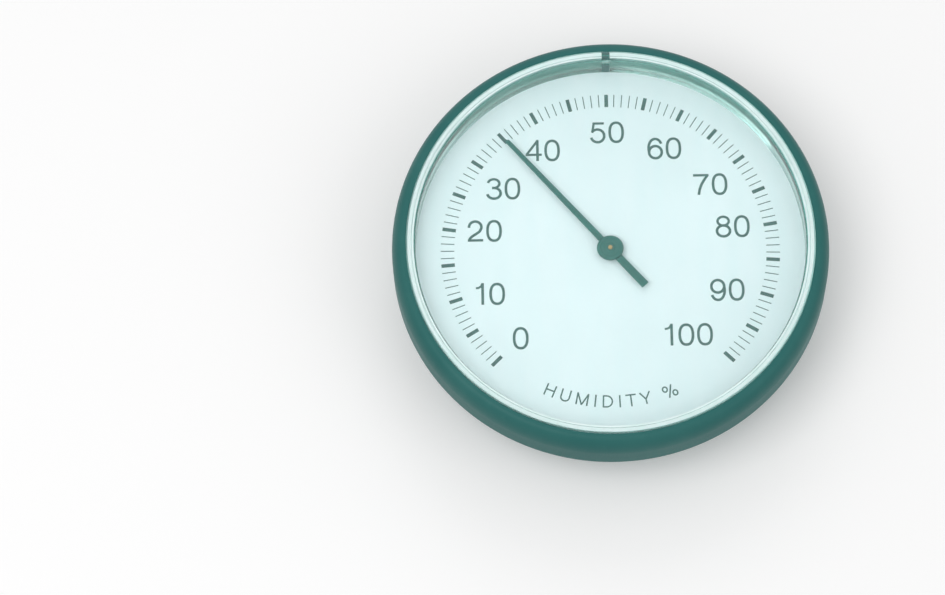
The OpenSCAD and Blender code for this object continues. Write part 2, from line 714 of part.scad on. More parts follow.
module hair_lever() color(steel) difference() {
    union() {
        disc(sector_axis, sector_arbor_d / 2 + hub_flange_w, lever_z, lever_t);
        hair_pad(sector_axis.y);
    }
    hole(sector_axis, sector_hub_r + seat_gap, lever_z, lever_z + lever_t);
    hole([hair_x - clamp_screw_off, sector_axis.y], clamp_screw_r + seat_gap, lever_z, lever_z + lever_t);
}

// The plate that presses the hair onto its pad, with a foot on the screw's side
module clamp_plate(y) color(brass) difference() {
    clamp_l = pad_l - 2 * clamp_margin;
    clamp_foot_w = pad_outer - clamp_margin - hair_w / 2 - clamp_foot_gap;
    translate([hair_x - pad_outer + clamp_margin, y - clamp_l / 2, 0]) union() {
        translate([0, 0, clamp_z]) cube([pad_w - 3 * clamp_margin, clamp_l, clamp_t]);
        translate([0, 0, lever_z + lever_t])
            cube([clamp_foot_w, clamp_l, clamp_z - lever_z - lever_t + merge]);
    }
    hole([hair_x - clamp_screw_off, y], clamp_screw_r + seat_gap, lever_z, clamp_z + clamp_t);
}

module clamp_screw(y) color(steel) at([hair_x - clamp_screw_off, y], clamp_z + clamp_t) mirror([0, 0, 1])
    screw(clamp_screw_r, clamp_z + clamp_t - lever_z, clamp_head_r, clamp_head_h, clamp_driver_w);

module lever_clamp_plate() clamp_plate(sector_axis.y);
module lever_clamp_screw() clamp_screw(sector_axis.y);
module anchor_clamp_plate() clamp_plate(trim_axis.y);
module anchor_clamp_screw() clamp_screw(trim_axis.y);

module hair_bundle() color([0.85, 0.75, 0.5])
    translate([hair_x - hair_w / 2, sector_axis.y - pad_l / 2 + clamp_margin, hair_z])
    cube([hair_w, hair_l + pad_l - 2 * clamp_margin, hair_t]);

module trim_screw() color(brass) difference() {
    union() {
        disc(trim_axis, spindle_head_d / 2, spindle_sink, spindle_head_z - spindle_sink);
        disc(trim_axis, spindle_d / 2, spindle_head_z - merge,
            lever_z + lever_t + spindle_stand - spindle_head_z + merge);
    }
    at(trim_axis, spindle_sink - cut) translate([-spindle_head_d, -spindle_slot_w / 2, 0])
        cube([2 * spindle_head_d, spindle_slot_w, spindle_slot_h + cut]);
}

module trim_arm() color(steel) difference() {
    union() {
        disc(trim_axis, spindle_d / 2 + trim_hub_wall, trim_hub_z, lever_z + lever_t - trim_hub_z);
        hair_pad(trim_axis.y);
    }
    hole(trim_axis, spindle_d / 2 + seat_gap, trim_hub_z, lever_z + lever_t);
    hole([hair_x - clamp_screw_off, trim_axis.y], clamp_screw_r + seat_gap, lever_z, lever_z + lever_t);
}

// A dished spring washer between the spindle's head and the base plate
module friction_washer() color(steel) at(trim_axis) {
    inner_r = spindle_d / 2 + run_gap;
    outer_r = spindle_head_d / 2 + merge;
    low_z = spindle_head_z + seat_gap;
    high_z = base_z - seat_gap;
    rotate_extrude() polygon([[inner_r, low_z], [outer_r, high_z - washer_t], [outer_r, high_z],
        [inner_r, low_z + washer_t]]);
}

case_body();
bezel_ring();
crystal();
dial_plate();
dial_studs();
dial_stud_nuts();
back_cover();
back_cover_screws();
base_plate();
front_plate();
pillars();
rear_pillar_screws();
front_pillar_screws();
pointer_bush_rear();
pointer_bush_front();
sector_bush_rear();
sector_bush_front();
stop_pins();
hairspring_stud();
hairspring();
pointer_arbor();
pinion();
hairspring_collet();
pointer();
pointer_hub();
sector_arbor();
sector_hub();
sector_wheel();
counterweight();
hair_lever();
lever_clamp_plate();
lever_clamp_screw();
hair_bundle();
trim_screw();
trim_arm();
anchor_clamp_plate();
anchor_clamp_screw();
friction_washer();
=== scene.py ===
import json
from math import acos, atan2, cos, pi, radians, sin, tan

import bmesh
import bpy
from mathutils import Matrix, Quaternion, Vector
from mathutils.geometry import delaunay_2d_cdt

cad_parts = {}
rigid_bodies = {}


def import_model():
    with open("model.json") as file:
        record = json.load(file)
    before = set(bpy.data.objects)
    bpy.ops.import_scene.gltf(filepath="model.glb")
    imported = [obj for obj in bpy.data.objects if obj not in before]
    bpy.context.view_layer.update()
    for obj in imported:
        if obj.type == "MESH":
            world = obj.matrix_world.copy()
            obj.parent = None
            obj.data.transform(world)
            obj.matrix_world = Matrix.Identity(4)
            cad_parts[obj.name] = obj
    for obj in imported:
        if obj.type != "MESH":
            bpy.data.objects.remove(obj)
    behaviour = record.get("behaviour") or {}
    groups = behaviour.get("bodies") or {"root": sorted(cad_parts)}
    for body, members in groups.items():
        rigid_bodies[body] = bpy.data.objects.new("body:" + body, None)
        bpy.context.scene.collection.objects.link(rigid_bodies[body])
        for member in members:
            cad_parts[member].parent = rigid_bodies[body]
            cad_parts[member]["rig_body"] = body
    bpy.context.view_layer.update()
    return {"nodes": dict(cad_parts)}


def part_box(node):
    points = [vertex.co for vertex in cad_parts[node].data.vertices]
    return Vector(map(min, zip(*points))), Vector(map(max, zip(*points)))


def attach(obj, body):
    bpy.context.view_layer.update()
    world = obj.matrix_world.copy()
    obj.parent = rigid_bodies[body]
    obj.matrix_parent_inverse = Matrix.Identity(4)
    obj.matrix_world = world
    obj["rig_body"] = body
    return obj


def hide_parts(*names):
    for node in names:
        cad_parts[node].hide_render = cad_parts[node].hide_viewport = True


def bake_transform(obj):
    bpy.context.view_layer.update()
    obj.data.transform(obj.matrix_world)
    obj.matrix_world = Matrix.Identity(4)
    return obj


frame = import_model()
scene = bpy.context.scene


# Movement plates
# The base plate and the front plate are blanked from hard brass sheet, brushed along
# one way and deburred, so that every sharp edge is broken.
MM = 0.001
PLATE_EDGE = 0.08
WELD_GAP = 0.001
FLAT_ANGLE = 0.5
SHARP_ANGLE = 35
CREASE_ANGLE = 32


def shade(red, green, blue):
    """A colour as a screen shows it, 0 to 255, in the shader's own scale."""
    shares = [value / 255 for value in (red, green, blue)]
    return tuple(s / 12.92 if s <= 0.04045 else ((s + 0.055) / 1.055) ** 2.4 for s in shares) + (1.0,)


def add_node(tree, kind, inputs=None, **settings):
    """Adds a shader node and sets or feeds its inputs."""
    made = tree.nodes.new("ShaderNode" + kind)
    for name, value in settings.items():
        setattr(made, name, value)
    for name, value in (inputs or {}).items():
        if isinstance(value, bpy.types.NodeSocket):
            tree.links.new(value, made.inputs[name])
        else:
            made.inputs[name].default_value = value
    return made


def noise(tree, place, grains, detail=3.0, roughness=0.5):
    """Noise over the piece. Grains is how many there are in a metre along each axis."""
    stretched = add_node(tree, "Mapping", {"Vector": place, "Scale": grains})
    return add_node(tree, "TexNoise", {"Vector": stretched.outputs[0], "Scale": 1.0, "Detail": detail,
                                       "Roughness": roughness}).outputs[0]


def spread(tree, value, part, onto=(0.0, 1.0)):
    """Maps a part of a value onto another range, both given as start and end."""
    return add_node(tree, "MapRange", {"Value": value, "From Min": part[0], "From Max": part[1],
                                       "To Min": onto[0], "To Max": onto[1]}).outputs[0]


def combined(tree, operation, first, second):
    """One step of arithmetic on two values."""
    return add_node(tree, "Math", {0: first, 1: second}, operation=operation).outputs[0]


def blend_colours(tree, share, first, second):
    """Mixes two colours."""
    return add_node(tree, "Mix", {0: share, 6: first, 7: second}, data_type="RGBA").outputs[2]


def new_effect(name, inputs):
    """A node group with the given inputs that puts out a colour, a roughness and a height."""
    tree = bpy.data.node_groups.new(name, "ShaderNodeTree")
    for label, kind, value in inputs:
        socket = tree.interface.new_socket(label, in_out="INPUT", socket_type="NodeSocket" + kind)
        socket.default_value = value
    for label, kind in (("Colour", "Color"), ("Roughness", "Float"), ("Height", "Float")):
        tree.interface.new_socket(label, in_out="OUTPUT", socket_type="NodeSocket" + kind)
    place = tree.nodes.new("ShaderNodeTexCoord").outputs["Object"]
    return tree, tree.nodes.new("NodeGroupInput").outputs, place


def close_effect(tree, colour, roughness, height, cover=None):
    """Joins a group's results to its outputs. Cover is the share that isn't seen through."""
    results = {"Colour": colour, "Roughness": roughness, "Height": height}
    if cover:
        results["Cover"] = cover
        tree.interface.new_socket("Cover", in_out="OUTPUT", socket_type="NodeSocketFloat")
    ends = tree.nodes.new("NodeGroupOutput")
    for label, socket in results.items():
        tree.links.new(socket, ends.inputs[label])


def finish(name, effect, values, relief, **shader_values):
    """A material: one effect that feeds a shader, with its height as relief in millimetres."""
    material = bpy.data.materials.new(name)
    material.use_nodes = True
    tree = material.node_tree
    shader = tree.nodes["Principled BSDF"]
    placed = add_node(tree, "Group", values, node_tree=effect)
    tree.links.new(placed.outputs["Colour"], shader.inputs["Base Color"])
    tree.links.new(placed.outputs["Roughness"], shader.inputs["Roughness"])
    if "Cover" in placed.outputs:
        tree.links.new(placed.outputs["Cover"], shader.inputs["Alpha"])
    bump = add_node(tree, "Bump", {"Height": placed.outputs["Height"], "Distance": relief * MM})
    tree.links.new(bump.outputs[0], shader.inputs["Normal"])
    for label, value in shader_values.items():
        shader.inputs[label.replace("_", " ")].default_value = value
    return material


def as_mesh(name, shape):
    """Makes a mesh of a finished shape, with all its faces looking outwards."""
    bmesh.ops.recalc_face_normals(shape, faces=shape.faces)
    mesh = bpy.data.meshes.new(name)
    shape.to_mesh(mesh)
    shape.free()
    return mesh


def soften_normals(piece, crease=CREASE_ANGLE):
    """Smooth shading with the flat faces kept flat."""
    shape = bmesh.new()
    shape.from_mesh(piece.data)
    for face in shape.faces:
        face.smooth = True
    for edge in shape.edges:
        edge.smooth = not edge.is_manifold or edge.calc_face_angle() < radians(crease)
    shape.to_mesh(piece.data)
    shape.free()
    weighted = piece.modifiers.new("flat faces", "WEIGHTED_NORMAL")
    weighted.keep_sharp = True
    weighted.weight = 100


def new_piece(name, mesh, material, body, stands_for=()):
    """Puts a mesh into the scene as a piece of the object."""
    piece = bpy.data.objects.new(name, mesh)
    scene.collection.objects.link(piece)
    mesh.materials.clear()
    mesh.materials.append(material)
    if body:
        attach(piece, body)
    if stands_for:
        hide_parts(*stands_for)
    return piece


def deburred(node, material, edge):
    """The node's own shape with its outer edges broken by a small width."""
    mesh = frame["nodes"][node].data.copy()
    body = frame["nodes"][node]["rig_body"]
    shape = bmesh.new()
    shape.from_mesh(mesh)
    bmesh.ops.remove_doubles(shape, verts=shape.verts, dist=WELD_GAP * MM)
    bmesh.ops.dissolve_limit(shape, angle_limit=radians(FLAT_ANGLE), verts=shape.verts, edges=shape.edges)
    sharp = [e for e in shape.edges
             if e.is_manifold and e.calc_face_angle_signed() > radians(SHARP_ANGLE)]
    bmesh.ops.bevel(shape, geom=sharp, offset=edge * MM, offset_type="OFFSET", segments=2,
                    profile=0.5, affect="EDGES", clamp_overlap=True)
    soften_normals(new_piece(node + "_finished", as_mesh(node, shape), material, body, (node,)))


brushed_grain, asked, place = new_effect("brushed_grain", (
    ("Metal", "Color", shade(214, 184, 120)), ("Tarnish", "Color", shade(150, 118, 66)),
    ("Smoothest", "Float", 0.25), ("Dullest", "Float", 0.45)))
strokes = noise(brushed_grain, place, (90, 5200, 5200), detail=4.0, roughness=0.62)
stains = noise(brushed_grain, place, (70, 70, 70), detail=5.0, roughness=0.6)
wear = combined(brushed_grain, "ADD",
                spread(brushed_grain, stains, part=(0.48, 0.75), onto=(0.0, 0.7)),
                spread(brushed_grain, strokes, part=(0.3, 0.7), onto=(0.0, 0.22)))
close_effect(
    brushed_grain,
    blend_colours(brushed_grain, wear, asked["Metal"], asked["Tarnish"]),
    spread(brushed_grain, wear, part=(0.0, 0.9), onto=(asked["Smoothest"], asked["Dullest"])),
    strokes)

sheet_brass = finish("sheet_brass", brushed_grain, {
    "Metal": shade(216, 186, 122), "Tarnish": shade(152, 120, 68)}, relief=0.004, Metallic=1.0)
for plate in ("base_plate", "front_plate"):
    deburred(plate, sheet_brass, PLATE_EDGE)


# Turned brass
# The pillars, the four flanged bushes, the spring's stud, the collar and the counterweight
# are turned from brass rod. The tool leaves fine lines round them.
TURNED_EDGE = 0.06

turning_lines, asked, place = new_effect("turning_lines", (
    ("Metal", "Color", shade(218, 190, 128)), ("Tarnish", "Color", shade(158, 126, 74)),
    ("Smoothest", "Float", 0.2), ("Dullest", "Float", 0.4)))
lines = noise(turning_lines, place, (40, 40, 7000), detail=3.0, roughness=0.6)
stains = noise(turning_lines, place, (260, 260, 260), detail=4.0, roughness=0.6)
wear = combined(turning_lines, "ADD",
                spread(turning_lines, stains, part=(0.5, 0.8), onto=(0.0, 0.6)),
                spread(turning_lines, lines, part=(0.3, 0.7), onto=(0.0, 0.2)))
close_effect(
    turning_lines,
    blend_colours(turning_lines, wear, asked["Metal"], asked["Tarnish"]),
    spread(turning_lines, wear, part=(0.0, 0.8), onto=(asked["Smoothest"], asked["Dullest"])),
    lines)

rod_brass = finish("rod_brass", turning_lines, {
    "Metal": shade(220, 190, 126), "Tarnish": shade(160, 126, 72)}, relief=0.003, Metallic=1.0)
for node in ("pillars", "pointer_bush_rear", "pointer_bush_front", "sector_bush_rear",
             "sector_bush_front", "hairspring_stud", "counterweight", "sector_hub"):
    deburred(node, rod_brass, TURNED_EDGE)


# Screws and pins
# Cheese-head screws of zinc plated steel hold the plates to the pillars and clamp the
# hair. Two bright steel pins pressed into the base plate end the sector's travel.
SCREW_EDGE = 0.05

plated_steel = finish("plated_steel", turning_lines, {
    "Metal": shade(206, 208, 208), "Tarnish": shade(160, 162, 160)}, relief=0.003, Metallic=1.0)
for node in ("rear_pillar_screws", "front_pillar_screws", "lever_clamp_screw", "anchor_clamp_screw",
             "stop_pins"):
    deburred(node, plated_steel, SCREW_EDGE)


# Pointer arbor with its pinion and collet
# A thin brass arbor carries a ten leaf pinion cut from brass rod and a split collet. Its
# upper end comes through the dial and shows as a bright dot in the pointer's hub.
TOOTH_EDGE = 0.03

worn_brass = finish("worn_brass", turning_lines, {
    "Metal": shade(184, 158, 112), "Tarnish": shade(128, 104, 66), "Smoothest": 0.3, "Dullest": 0.5},
    relief=0.003, Metallic=1.0)
deburred("pointer_arbor", worn_brass, TURNED_EDGE)
deburred("pinion", rod_brass, TOOTH_EDGE)
deburred("hairspring_collet", rod_brass, TURNED_EDGE)


# Hairspring
# A flat spiral of five turns, rolled from steel strip and tempered blue. Its inner end is
# held in the collet and its outer end in the stud under the front plate.
SPRING_PITCH = 0.9
SPRING_TURNS = 5
SPRING_T = 0.2
SPRING_ROUND = 0.05
SPRING_DIR = radians(20)
SPRING_STEPS = 72
SPRING_CREASE = 50
SEAT_GAP = 0.03


def limits(node):
    """The lowest and the highest corner of a node, in millimetres."""
    low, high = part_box(node)
    return low / MM, high / MM


def skinned(shape, rings):
    """Closes rings of points with four-sided faces between them and a face at each end."""
    for first, second in zip(rings, rings[1:]):
        for i in range(len(first)):
            j = (i + 1) % len(first)
            shape.faces.new((first[i], first[j], second[j], second[i]))
    shape.faces.new(rings[0][::-1])
    shape.faces.new(rings[-1])


spring_low, spring_high = limits("hairspring")
collet_high = limits("hairspring_collet")[1]
strip_h = spring_high.z - spring_low.z
half_t = SPRING_T / 2
start_r = collet_high.y + SEAT_GAP + half_t
section = [(-half_t + SPRING_ROUND, 0), (half_t - SPRING_ROUND, 0), (half_t, SPRING_ROUND),
           (half_t, strip_h - SPRING_ROUND), (half_t - SPRING_ROUND, strip_h),
           (-half_t + SPRING_ROUND, strip_h), (-half_t, strip_h - SPRING_ROUND),
           (-half_t, SPRING_ROUND)]
shape = bmesh.new()
rings = []
for step in range(SPRING_TURNS * SPRING_STEPS + 1):
    angle = SPRING_DIR + 2 * pi * step / SPRING_STEPS
    middle = start_r + SPRING_PITCH * step / SPRING_STEPS
    rings.append([shape.verts.new(((middle + out) * cos(angle) * MM, (middle + out) * sin(angle) * MM,
                                   (spring_low.z + up) * MM)) for out, up in section])
skinned(shape, rings)
blued_steel = finish("blued_steel", brushed_grain, {
    "Metal": shade(58, 84, 150), "Tarnish": shade(92, 72, 120), "Smoothest": 0.18, "Dullest": 0.35},
    relief=0.002, Metallic=1.0)
strip = new_piece("hairspring_strip", as_mesh("hairspring_strip", shape), blued_steel, "root",
                  ("hairspring",))
soften_normals(strip, SPRING_CREASE)


# Sector
# A steel arbor carries a brass collar with the toothed sector, cut from sheet, and the
# lever that the hair pulls on. Sector and lever are riveted to the collar.
LEVER_EDGE = 0.06
CLAMP_EDGE = 0.05

deburred("sector_arbor", plated_steel, TURNED_EDGE)
deburred("sector_wheel", sheet_brass, TOOTH_EDGE)
sheet_steel = finish("sheet_steel", brushed_grain, {
    "Metal": shade(198, 200, 202), "Tarnish": shade(140, 140, 136), "Smoothest": 0.28, "Dullest": 0.5},
    relief=0.004, Metallic=1.0)
deburred("hair_lever", sheet_steel, LEVER_EDGE)
deburred("lever_clamp_plate", sheet_brass, CLAMP_EDGE)


# Hair bundle
# Degreased fine hairs lie side by side and are held flat under a clamp at each end. The
# lever pulls them straight. The bundle is the part that feels the damp.
HAIR_D = 0.096
HAIR_COLUMNS = 15
HAIR_ROWS = 3
HAIR_SIDES = 6
HAIR_STEPS = 22
HAIR_CREASE = 70
WANDER_X = 0.004
WANDER_Z = 0.0015
WANDER_PACE = 0.55
WANDER_RATIO = 1.3
COLUMN_SHIFT = 1.9
ROW_SHIFT = 2.7

hair_tone, asked, place = new_effect("hair_tone", (
    ("Hair", "Color", shade(206, 182, 136)), ("Dark hair", "Color", shade(150, 118, 76))))
strands = noise(hair_tone, place, (7800, 60, 7800), detail=2.0, roughness=0.5)
scales = noise(hair_tone, place, (4000, 9000, 4000), detail=3.0, roughness=0.6)
dark_share = spread(hair_tone, strands, part=(0.35, 0.65))
close_effect(
    hair_tone,
    blend_colours(hair_tone, dark_share, asked["Hair"], asked["Dark hair"]),
    spread(hair_tone, scales, part=(0.2, 0.8), onto=(0.32, 0.55)),
    scales)
hair_fibre = finish("hair_fibre", hair_tone, {}, relief=0.002, Specular_IOR_Level=0.6)

hair_low, hair_high = limits("hair_bundle")
hair_middle = (hair_low + hair_high) / 2
hair_r = HAIR_D / 2
column_step = (hair_high.x - hair_low.x - HAIR_D) / (HAIR_COLUMNS - 1)
row_step = (hair_high.z - hair_low.z - HAIR_D) / (HAIR_ROWS - 1)


def hair_strands(name, from_y, to_y):
    """One half of the bundle, with each strand a thin tube that wanders a little."""
    shape = bmesh.new()
    for row in range(HAIR_ROWS):
        for column in range(HAIR_COLUMNS):
            rings = []
            for step in range(HAIR_STEPS + 1):
                y = from_y + (to_y - from_y) * step / HAIR_STEPS
                phase = y * WANDER_PACE + column * COLUMN_SHIFT + row * ROW_SHIFT
                x = hair_low.x + hair_r + column * column_step + WANDER_X * sin(phase)
                z = hair_low.z + hair_r + row * row_step + WANDER_Z * cos(phase * WANDER_RATIO)
                turns = [2 * pi * side / HAIR_SIDES for side in range(HAIR_SIDES)]
                rings.append([shape.verts.new(((x + hair_r * cos(turn)) * MM, y * MM,
                                               (z + hair_r * sin(turn)) * MM)) for turn in turns])
            skinned(shape, rings)
    half = new_piece(name, as_mesh(name, shape), hair_fibre, None, ("hair_bundle",))
    soften_normals(half, HAIR_CREASE)
    return half


hair_lower = hair_strands("hair_lower", hair_low.y, hair_middle.y)
hair_upper = hair_strands("hair_upper", hair_middle.y, hair_high.y)
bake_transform(hair_lower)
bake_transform(hair_upper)


# Adjuster
# A slotted brass spindle turns in the base plate from the back of the case. A steel arm on
# it holds the hair's other end, and a dished steel washer keeps it where it is set.
SPINDLE_EDGE = 0.08
WASHER_EDGE = 0.03

deburred("trim_screw", rod_brass, SPINDLE_EDGE)
deburred("trim_arm", sheet_steel, LEVER_EDGE)
deburred("anchor_clamp_plate", sheet_brass, CLAMP_EDGE)
deburred("friction_washer", sheet_steel, WASHER_EDGE)


# Dial studs and nuts
# Three shouldered steel studs are welded to the dial's back and pass through the front
# plate, where small hexagon nuts hold the movement.
NUT_EDGE = 0.08

deburred("dial_studs", plated_steel, TURNED_EDGE)
deburred("dial_stud_nuts", plated_steel, NUT_EDGE)


# Dial plate
# A brass disc with a pale stoved lacquer, a little uneven like fine orange peel. The scale
# is printed on it in dark ink.
DIAL_HOLE_R = 1.6
DIAL_HOLE_EDGE = 0.05
DIAL_BACK_EDGE = 0.08
DIAL_FRONT_EDGE = 0.12
TURNED_STEPS = 256
ROUND_STEPS = 4

dial_low, dial_high = limits("dial_plate")


def rounded(corners, steps=ROUND_STEPS):
    """A closed outline with a rounding at each corner, given as radius, height and rounding."""
    points = []
    for i, (r, z, rounding) in enumerate(corners):
        corner = Vector((r, z))
        if not rounding:
            points.append(corner)
            continue
        before = (Vector(corners[i - 1][:2]) - corner).normalized()
        after = (Vector(corners[(i + 1) % len(corners)][:2]) - corner).normalized()
        half = acos(max(-1.0, min(1.0, before.dot(after)))) / 2
        centre = corner + (before + after).normalized() * rounding / sin(half)
        start = corner + before * rounding / tan(half) - centre
        end = corner + after * rounding / tan(half) - centre
        turn = atan2(start.x * end.y - start.y * end.x, start.dot(end))
        points += [centre + Matrix.Rotation(turn * k / steps, 2) @ start for k in range(steps + 1)]
    return [(p.x, p.y) for p in points]


def turned(name, outline, steps=TURNED_STEPS):
    """A mesh turned round the dial's axis from a closed outline of radii and heights."""
    shape = bmesh.new()
    turns = [2 * pi * k / steps for k in range(steps)]
    rings = []
    for r, z in outline:
        if r:
            rings.append([shape.verts.new((r * cos(a) * MM, r * sin(a) * MM, z * MM)) for a in turns])
        else:
            rings.append([shape.verts.new((0, 0, z * MM))])
    for first, second in zip(rings, rings[1:] + rings[:1]):
        if len(first) == 1 and len(second) == 1:
            continue
        for k in range(steps):
            n = (k + 1) % steps
            if len(first) == 1:
                shape.faces.new((first[0], second[k], second[n]))
            elif len(second) == 1:
                shape.faces.new((first[k], second[0], first[n]))
            else:
                shape.faces.new((first[k], second[k], second[n], first[n]))
    return as_mesh(name, shape)


lacquer_film, asked, place = new_effect("lacquer_film", (
    ("Lacquer", "Color", shade(236, 249, 251)), ("Aged", "Color", shade(230, 244, 246)),
    ("Smoothest", "Float", 0.3), ("Dullest", "Float", 0.42)))
clouds = noise(lacquer_film, place, (30, 30, 30), detail=3.0, roughness=0.5)
peel = noise(lacquer_film, place, (1400, 1400, 1400), detail=2.0, roughness=0.4)
aged_share = spread(lacquer_film, clouds, part=(0.35, 0.7))
close_effect(
    lacquer_film,
    blend_colours(lacquer_film, aged_share, asked["Lacquer"], asked["Aged"]),
    spread(lacquer_film, peel, part=(0.3, 0.7), onto=(asked["Smoothest"], asked["Dullest"])),
    peel)
dial_lacquer = finish("dial_lacquer", lacquer_film, {}, relief=0.004)
dial_outline = rounded([
    (DIAL_HOLE_R, dial_low.z, DIAL_HOLE_EDGE), (dial_high.x, dial_low.z, DIAL_BACK_EDGE),
    (dial_high.x, dial_high.z, DIAL_FRONT_EDGE), (DIAL_HOLE_R, dial_high.z, DIAL_BACK_EDGE)])
soften_normals(new_piece("dial_disc", turned("dial_disc", dial_outline), dial_lacquer, "root",
                         ("dial_plate",)))


# Printed scale
# Marks for each per cent, with a bolder one at each fifth, numbers at each tenth and a
# plain word below, all in thin dark ink laid on by pad printing.
INK_T = 0.02
MARK_FROM_R = 35.8
MARK_TO_R = 38.9
MARK_W = 0.21
BOLD_W = 0.85
BOLD_EACH = 5
MARK_STEP = 2.7
MIDDLE_MARK = 50
LAST_MARK = 100
DIGIT_SCALE = 0.0075
DIGIT_STROKE = 82
DIGIT_ADVANCE = 566
ONE_ADVANCE = 483
DIGIT_HALF_W = 278
DIGIT_HALF_H = 342
ARC_STEPS = 28
NEAREST_POINTS = 1
SHARPEST_BEND = 0.5
HOLES_STAY_OPEN = 4
CROSSING_GAP = 1e-5
STRAIGHT_ANGLE = 0.1


def bowl(x, y, rx, ry, start, end, square=2.0):
    """Points round a rounded form from one angle to another."""
    points = []
    for k in range(ARC_STEPS + 1):
        a = radians(start + (end - start) * k / ARC_STEPS)
        c, s = cos(a), sin(a)
        points.append((x + rx * (abs(c) ** (2 / square)) * (1 if c >= 0 else -1),
                       y + ry * (abs(s) ** (2 / square)) * (1 if s >= 0 else -1)))
    return points


def ribbon(points, width):
    """Four-sided faces along a line of points."""
    sides = []
    points = [Vector(p) for i, p in enumerate(points)
              if not i or (Vector(p) - Vector(points[i - 1])).length > NEAREST_POINTS]
    for i, here in enumerate(points):
        before = (here - points[i - 1]).normalized() if i else None
        after = (points[i + 1] - here).normalized() if i + 1 < len(points) else None
        run = ((before or after) + (after or before)).normalized()
        bend = max(SHARPEST_BEND, run.dot(after or before))
        across = Vector((-run.y, run.x)) * width / 2 / bend
        sides.append((here + across, here - across))
    return [(a[0], a[1], b[1], b[0]) for a, b in zip(sides, sides[1:])]


def printed(name, faces):
    """Joins overlapping flat faces into one film of ink on the dial."""
    points = []
    index = []
    for face in faces:
        turn = sum(a.x * b.y - b.x * a.y for a, b in zip(face, face[1:] + face[:1]))
        index.append(list(range(len(points), len(points) + len(face))))
        points += list(face) if turn > 0 else list(face)[::-1]
    verts, _, cells, _, _, sources = delaunay_2d_cdt(points, [], index, HOLES_STAY_OPEN, CROSSING_GAP,
                                                     True)
    shape = bmesh.new()
    made = [shape.verts.new((v.x * MM, v.y * MM, (dial_high.z + INK_T) * MM)) for v in verts]
    for cell, source in zip(cells, sources):
        if source:
            shape.faces.new([made[k] for k in cell])
    bmesh.ops.delete(shape, geom=[v for v in made if not v.link_faces], context="VERTS")
    bmesh.ops.dissolve_limit(shape, angle_limit=radians(STRAIGHT_ANGLE), verts=shape.verts,
                             edges=shape.edges)
    bmesh.ops.recalc_face_normals(shape, faces=shape.faces)
    under = bmesh.ops.extrude_face_region(shape, geom=shape.faces[:])
    for vert in under["geom"]:
        if isinstance(vert, bmesh.types.BMVert):
            vert.co.z = dial_high.z * MM
    return as_mesh(name, shape)


def placed_strokes(strokes, width, scale, x, y, turn=0.0):
    """The faces of a letter's strokes at a place of the dial."""
    move = Matrix.Rotation(turn, 2)
    return [tuple(move @ (corner * scale) + Vector((x, y)) for corner in face)
            for points, share in strokes for face in ribbon(points, width * share)]


def digit(figure):
    """Centre lines of a plain sans serif figure, in thousandths of its type size."""
    if figure == "0":
        return [(bowl(DIGIT_HALF_W, DIGIT_HALF_H, 200, 322, 0, 360, 2.35), 1)]
    if figure == "1":
        return [([(318, 0), (318, 703)], 1), ([(112, 540), (190, 546), (262, 584), (300, 660)], 0.8)]
    if figure == "2":
        top = bowl(268, 478, 190, 186, 186, -22)
        return [(top + [(400, 330), (300, 255), (175, 178), (100, 100), (74, 20)], 1),
                ([(34, 40), (507, 40)], 0.95)]
    if figure == "3":
        return [(bowl(270, 520, 176, 145, 170, -90) + [(215, 375)], 0.95),
                ([(215, 377)] + bowl(275, 199, 205, 178, 90, -172), 1)]
    if figure == "4":
        return [([(392, 0), (392, 703)], 1), ([(388, 665), (58, 222)], 0.9),
                ([(25, 207), (523, 207)], 0.9)]
    if figure == "5":
        return [([(118, 648), (470, 648)], 0.9), ([(158, 670), (104, 340)], 0.9),
                (bowl(266, 232, 206, 214, 147, -165), 1)]
    if figure == "6":
        return [(bowl(284, 342, 205, 322, 28, 196, 2.15), 1), (bowl(284, 222, 196, 204, 0, 360), 1)]
    if figure == "7":
        return [([(37, 648), (515, 648)], 0.95),
                ([(492, 660), (385, 510), (290, 345), (228, 180), (196, 0)], 1)]
    if figure == "8":
        return [(bowl(278, 521, 172, 144, 0, 360), 0.95), (bowl(278, 199, 200, 180, 0, 360), 1)]
    return [([(2 * DIGIT_HALF_W - x, 2 * DIGIT_HALF_H - y) for x, y in points], share)
            for points, share in digit("6")]


marks = []
for per_cent in range(LAST_MARK + 1):
    turn = radians((per_cent - MIDDLE_MARK) * MARK_STEP)
    out = Vector((sin(turn), cos(turn)))
    side = Vector((out.y, -out.x)) * (MARK_W if per_cent % BOLD_EACH else BOLD_W) / 2
    marks.append((out * MARK_FROM_R - side, out * MARK_TO_R - side, out * MARK_TO_R + side,
                  out * MARK_FROM_R + side))

# Where the middle of each number stands on the dial
NUMBERS = {0: (-20.9, -21.0), 10: (-27.9, -10.1), 20: (-28.7, 5.4), 30: (-24.3, 15.8),
           40: (-14.95, 25.15), 50: (0.0, 29.4), 60: (13.15, 25.1), 70: (23.5, 15.9),
           80: (28.25, 5.35), 90: (26.5, -10.2), 100: (17.1, -20.9)}
figures = []
for number, (x, y) in NUMBERS.items():
    text = str(number)
    advances = [ONE_ADVANCE if figure == "1" else DIGIT_ADVANCE for figure in text]
    left = x - (sum(advances[:-1]) / 2 + DIGIT_HALF_W) * DIGIT_SCALE
    for k, figure in enumerate(text):
        figures += placed_strokes(digit(figure), DIGIT_STROKE, DIGIT_SCALE,
                                  left + sum(advances[:k]) * DIGIT_SCALE, y - DIGIT_HALF_H * DIGIT_SCALE)

WORD = "HUMIDITY %"
WORD_R = 38.1
WORD_SPAN = radians(48.5)
WORD_LEAN = radians(1.2)
WORD_SCALE = 0.00404
WORD_STROKE = 84
LETTER_HALF_H = 1.4
